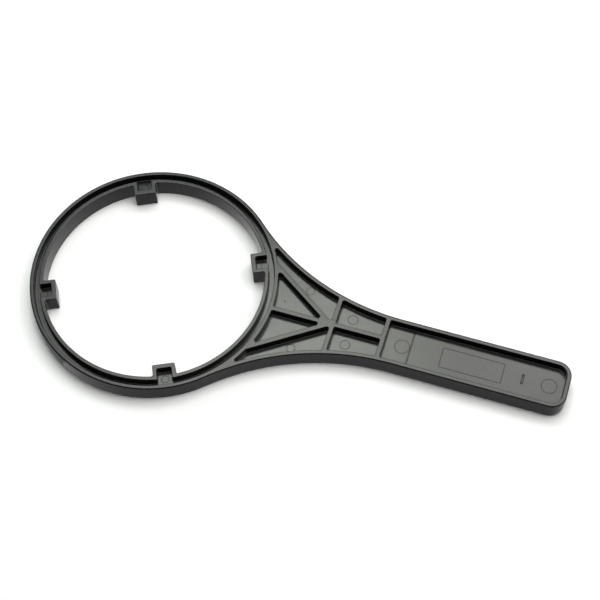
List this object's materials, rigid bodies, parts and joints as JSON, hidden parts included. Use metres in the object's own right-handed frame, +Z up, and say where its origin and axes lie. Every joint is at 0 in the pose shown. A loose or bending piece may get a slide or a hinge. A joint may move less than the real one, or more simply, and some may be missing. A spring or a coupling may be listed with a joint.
{
  "type": "ring wrench for a water filter housing",
  "caption": "Flat moulded ring wrench with inner lugs, a braced flare and a long handle, for turning the sump of a water filter housing.",
  "frame": {"origin": "the ring's axis, in the plane of the bottom rims", "axes": "+X from the ring along the handle, +Z up along the ring's axis"},
  "size_m": [0.2933, 0.1336, 0.0113],
  "materials": {
    "moulded_plastic": "satin black moulded plastic"
  },
  "bodies": {
    "root": {"ring_outer_wall": "moulded_plastic", "ring_inner_wall": "moulded_plastic", "ring_web": "moulded_plastic", "lug_1": "moulded_plastic", "lug_2": "moulded_plastic", "lug_3": "moulded_plastic", "lug_4": "moulded_plastic", "left_gusset": "moulded_plastic", "right_gusset": "moulded_plastic", "left_flank_wall": "moulded_plastic", "right_flank_wall": "moulded_plastic", "flare_web": "moulded_plastic", "spine_rib": "moulded_plastic", "left_diagonal_rib": "moulded_plastic", "right_diagonal_rib": "moulded_plastic", "inner_cross_rib": "moulded_plastic", "outer_cross_rib": "moulded_plastic", "handle_web": "moulded_plastic", "handle_wall": "moulded_plastic"}
  },
  "joints": []
}
